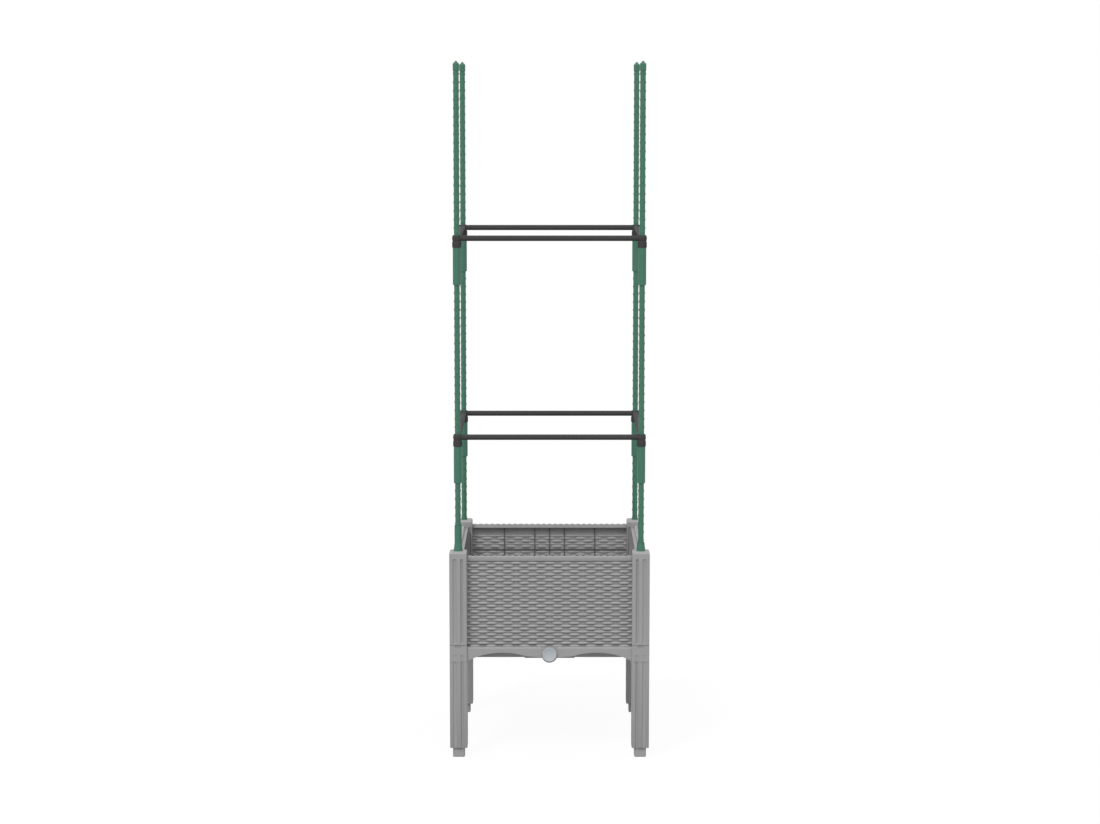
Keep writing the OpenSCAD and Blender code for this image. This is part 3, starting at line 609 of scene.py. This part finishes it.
def stakeShell(x, y, low, high, nubsTo):
    # Tube whose radius grows by (1 - r^2) to a power at each nub, r being the distance from its
    # middle as a share of its half width. The nubs stand in four columns, and neighbouring
    # columns are half a pitch apart.
    rows = int(round((high - low) / stake["rowStep"]))
    z = np.linspace(low, high, rows)[:, None]
    angle = np.linspace(0, 2 * np.pi, stake["segments"], endpoint=False)[None]
    pitch = stake["nubPitch"]
    radius = stake["radius"] + 0 * (z + angle)
    for column in range(4):
        shift = (column % 2) * pitch / 2
        around = (angle - column * np.pi / 2 + np.pi) % (2 * np.pi) - np.pi
        along = (z - low - shift + pitch / 2) % pitch - pitch / 2
        far = ((around * stake["radius"]) ** 2 + along ** 2) / stake["nubHalf"] ** 2
        bump = np.clip(1 - far, 0, 1) ** stake["nubPower"]
        radius = np.maximum(radius, stake["radius"] + stake["nubHeight"] * bump * (z < nubsTo))
    outside = np.stack([x + radius * np.cos(angle), y + radius * np.sin(angle),
                        z + 0 * angle], -1)
    bore = stake["radius"] - stake["wall"]
    inside = np.stack([x + bore * np.cos(angle), y + bore * np.sin(angle), 0 * angle], -1)
    topRing, lowRing = inside.copy(), inside.copy()
    topRing[..., 2], lowRing[..., 2] = high, low
    return closedRings(np.concatenate([outside, topRing, lowRing]))


tierBodies = {"lower_stake": "lower_tier", "middle_stake": "middle_tier"}
for tier in ("lower_stake", "middle_stake", "top_stake"):
    plain = stake["plainUnderTip" if tier == "top_stake" else "plainTop"]
    for corner in cornerSigns:
        node = tier + "_" + corner
        low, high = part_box(node)
        body = tierBodies.get(tier, "top_" + corner)
        x, y = (low.x + high.x) / 2, (low.y + high.y) / 2
        addPiece("nubbed_" + node, [stakeShell(x, y, low.z, high.z, high.z - plain)], coating,
                 body, [node])
print("stakes made")

# The rim's curve is given from its middle radius and the edge's from the plug's radius, each point
# with its distance behind the plug's face.
plug = {
    "segments": 72, "rim": 1.3e-3, "dish": 0.7e-3,
    "rimCurve": ((-1.2e-3, 0.7e-3), (-0.5e-3, 0.315e-3), (-0.1e-3, 0.05e-3), (0.3e-3, 0.0)),
    "edgeCurve": ((-0.5e-3, 0.1e-3), (-0.15e-3, 0.5e-3), (0.0, 1.2e-3)),
    "backEdge": 0.4e-3, "shank": 4.7e-3, "shankEdge": 0.5e-3, "axis": 0.02e-3,
}


def plugShell():
    # The plug's outline turned about its axis: a dished head with a raised rim, and the shank.
    # The outline runs from the face to the shank's end, and its rings are taken from the end, so
    # that the faces point outwards.
    low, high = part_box("drain_plug")
    radius = (high.x - low.x) / 2
    axis = (low.z + high.z) / 2
    face, end, back = low.y, high.y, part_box("plug_washer")[0].y
    rim, shank = radius - plug["rim"], plug["shank"]
    outline = np.array([
        [0, face + plug["dish"]], *[[rim + r, face + y] for r, y in plug["rimCurve"]],
        *[[radius + r, face + y] for r, y in plug["edgeCurve"]],
        [radius, back - plug["backEdge"]], [radius - plug["backEdge"], back], [shank, back],
        [shank, end - plug["shankEdge"]], [shank - plug["shankEdge"], end], [0, end]])
    outline[:, 0] = np.maximum(outline[:, 0], plug["axis"])
    angle = np.linspace(0, 2 * np.pi, plug["segments"], endpoint=False)
    r, y = outline[:, :1], outline[:, 1:]
    points = np.stack([r * np.cos(angle), y + 0 * angle, axis + r * np.sin(angle)], -1)
    return closedRings(points[::-1])


addPiece("drain_plug_head", [plugShell()], plugPlastic, "drain", ["drain_plug"])
print("plug made")


def seenRays(tree):
    # 1 on rays that show the floor or the sky, straight, in a reflection or through glass, and 0
    # on those that only light something
    path = addNode(tree, "ShaderNodeLightPath")
    seen = addNode(tree, "ShaderNodeMath", {
        0: path.outputs["Is Camera Ray"], 1: path.outputs["Is Glossy Ray"]}, operation="MAXIMUM")
    seen = addNode(tree, "ShaderNodeMath", {
        0: seen.outputs[0], 1: path.outputs["Is Transmission Ray"]}, operation="MAXIMUM")
    return seen.outputs[0]


# Paper-white studio floor: seen as white with a faint shadow, and grey to the light it returns
stage = {"floorSize": 30.0, "white": "#ffffff", "grey": "#b4b4b4", "shadowShare": 0.06}
floorMaterial, tree = newMaterial("studio_floor_pale")
seen = seenRays(tree)
tone = addNode(tree, "ShaderNodeMix", {
    0: seen, 6: linear(stage["grey"]), 7: linear(stage["white"])}, data_type="RGBA")
matt = addNode(tree, "ShaderNodeBsdfDiffuse", {"Color": tone.outputs[2]})
glow = addNode(tree, "ShaderNodeEmission", {"Color": linear(stage["white"]), "Strength": 1.0})
share = addNode(tree, "ShaderNodeMath", {0: seen, 1: 1 - stage["shadowShare"]},
                operation="MULTIPLY")
paint = addNode(tree, "ShaderNodeMixShader", {
    0: share.outputs[0], 1: matt.outputs[0], 2: glow.outputs[0]})
addNode(tree, "ShaderNodeOutputMaterial", {"Surface": paint.outputs[0]})
reach = stage["floorSize"] / 2
floorMesh = bpy.data.meshes.new("studio_floor")
floorMesh.from_pydata([(-reach, -reach, 0), (reach, -reach, 0), (reach, reach, 0),
                       (-reach, reach, 0)], [], [(0, 1, 2, 3)])
floorMesh.materials.append(floorMaterial)
floorObject = bpy.data.objects.new("studio_floor", floorMesh)
bpy.context.scene.collection.objects.link(floorObject)

light = {"sky": "#ffffff", "world": 0.65,
         "keyStrength": 1.08, "keyAzimuth": -31, "keyElevation": 50, "keySoft": 12,
         "fillStrength": 0.72, "fillAzimuth": 0, "fillElevation": 52, "fillSoft": 50}
world = bpy.data.worlds.new("studio")
bpy.context.scene.world = world
world.use_nodes = True
tree = world.node_tree
tree.nodes.clear()
level = addNode(tree, "ShaderNodeMapRange", {
    "Value": seenRays(tree), "To Min": light["world"], "To Max": 1.0})
sky = addNode(tree, "ShaderNodeBackground", {
    "Color": linear(light["sky"]), "Strength": level.outputs[0]})
addNode(tree, "ShaderNodeOutputWorld", {"Surface": sky.outputs[0]})


def addSun(name, strength, azimuth, elevation, soft):
    # azimuth is measured from the front towards the right, elevation up from the floor
    lamp = bpy.data.lights.new(name, "SUN")
    lamp.energy = strength
    lamp.angle = math.radians(soft)
    sun = bpy.data.objects.new(name, lamp)
    sun.rotation_euler = (math.radians(90 - elevation), 0, math.radians(azimuth))
    bpy.context.scene.collection.objects.link(sun)


for name in ("key", "fill"):
    addSun(name, *[light[name + value] for value in ("Strength", "Azimuth", "Elevation", "Soft")])

# the photo's place and width of view, pitched down in place of the photo's shift
view = {"place": (0.001, -5.182, 1.354), "pitch": 7.457, "lens": 83.17, "sensor": 36,
        "clipEnd": 60}
camera = bpy.data.cameras.new("camera")
camera.lens = view["lens"]
camera.sensor_width = view["sensor"]
camera.sensor_fit = "HORIZONTAL"
camera.clip_end = view["clipEnd"]
cameraObject = bpy.data.objects.new("camera", camera)
cameraObject.location = view["place"]
cameraObject.rotation_euler = (math.radians(90 - view["pitch"]), 0, 0)
bpy.context.scene.collection.objects.link(cameraObject)
bpy.context.scene.camera = cameraObject
bpy.context.scene.view_settings.view_transform = "Standard"
print("stage, light and camera set")
